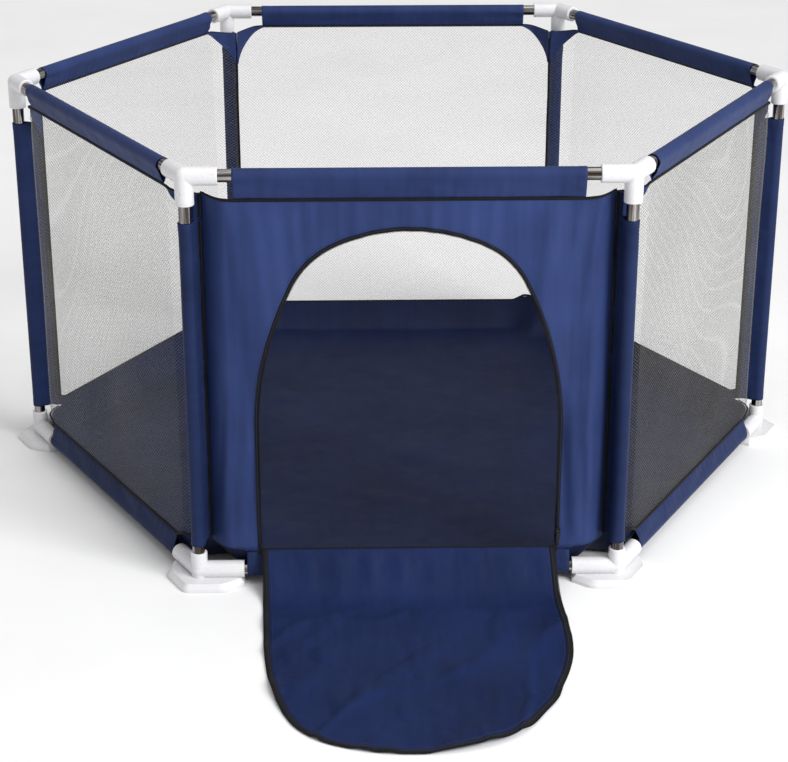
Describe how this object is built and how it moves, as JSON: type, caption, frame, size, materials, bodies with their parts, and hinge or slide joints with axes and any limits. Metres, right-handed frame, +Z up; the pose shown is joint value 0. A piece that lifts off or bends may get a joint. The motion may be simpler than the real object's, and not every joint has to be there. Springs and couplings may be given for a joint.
{
  "type": "play yard",
  "caption": "Six-sided knock-down play yard of tubes in cloth pockets, plastic corner joints and feet, net walls and a zip door whose flap lies open on the floor.",
  "frame": {"origin": "middle of the yard on the floor, at the underside of the floor cloth", "axes": "+Z up, -Y out through the door, +X to the right of someone facing the door from outside"},
  "size_m": [1.361, 1.6199, 0.6607],
  "materials": {
    "navy_cloth": "coated plain-weave cloth with a soft sheen",
    "net": "fine knitted net, pale",
    "floor_cloth": "coated plain-weave cloth",
    "zip_tape": "woven zip tape and coil, black",
    "white_plastic": "moulded, smooth",
    "steel_tube": "polished steel tube",
    "zip_metal": "black lacquer"
  },
  "bodies": {
    "root": {"top_connector_1": "white_plastic", "foot_1": "white_plastic", "top_rail_1": "steel_tube", "bottom_rail_1": "steel_tube", "post_1": "steel_tube", "top_sleeve_1": "navy_cloth", "post_sleeve_1": "navy_cloth", "top_connector_2": "white_plastic", "foot_2": "white_plastic", "top_rail_2": "steel_tube", "bottom_rail_2": "steel_tube", "post_2": "steel_tube", "top_sleeve_2": "navy_cloth", "post_sleeve_2": "navy_cloth", "net_panel_2": "net", "top_connector_3": "white_plastic", "foot_3": "white_plastic", "top_rail_3": "steel_tube", "bottom_rail_3": "steel_tube", "post_3": "steel_tube", "top_sleeve_3": "navy_cloth", "post_sleeve_3": "navy_cloth", "net_panel_3": "net", "top_connector_4": "white_plastic", "foot_4": "white_plastic", "top_rail_4": "steel_tube", "bottom_rail_4": "steel_tube", "post_4": "steel_tube", "top_sleeve_4": "navy_cloth", "post_sleeve_4": "navy_cloth", "net_panel_4": "net", "top_connector_5": "white_plastic", "foot_5": "white_plastic", "top_rail_5": "steel_tube", "bottom_rail_5": "steel_tube", "post_5": "steel_tube", "top_sleeve_5": "navy_cloth", "post_sleeve_5": "navy_cloth", "net_panel_5": "net", "top_connector_6": "white_plastic", "foot_6": "white_plastic", "top_rail_6": "steel_tube", "bottom_rail_6": "steel_tube", "post_6": "steel_tube", "top_sleeve_6": "navy_cloth", "post_sleeve_6": "navy_cloth", "net_panel_6": "net", "bottom_sleeves": "navy_cloth", "door_panel": "navy_cloth", "corner_gussets": "navy_cloth", "floor_cloth": "floor_cloth", "door_zip": "zip_tape"},
    "flap_strip": {"flap_strip": "navy_cloth"},
    "flap": {"door_flap": "navy_cloth", "flap_zip": "zip_tape"},
    "zip_slider": {"zip_slider": "zip_metal"},
    "zip_pull": {"zip_pull": "zip_metal"}
  },
  "joints": [
    {"name": "flap_open", "type": "hinge", "parent": "root", "child": "flap_strip", "pos_m": [0, -0.55596, 0.057], "axis": [-1, 0, 0], "range_deg": [0, 151.74]},
    {"name": "flap_fold", "type": "hinge", "parent": "flap_strip", "child": "flap", "pos_m": [0, -0.58596, 0.0012], "axis": [-1, 0, 0], "range_deg": [-61.75, 0]},
    {"name": "zip_slide", "type": "slide", "parent": "root", "child": "zip_slider", "axis": [0, 0, 1], "range_m": [0, 0.16]},
    {"name": "pull_swing", "type": "hinge", "parent": "zip_slider", "child": "zip_pull", "pos_m": [0.2276, -0.56246, 0.085], "axis": [-1, 0, 0], "range_deg": [0, 150]}
  ],
  "couplings": [
    {"joint": "flap_fold", "follows": "flap_open", "ratio": -0.40686}
  ]
}
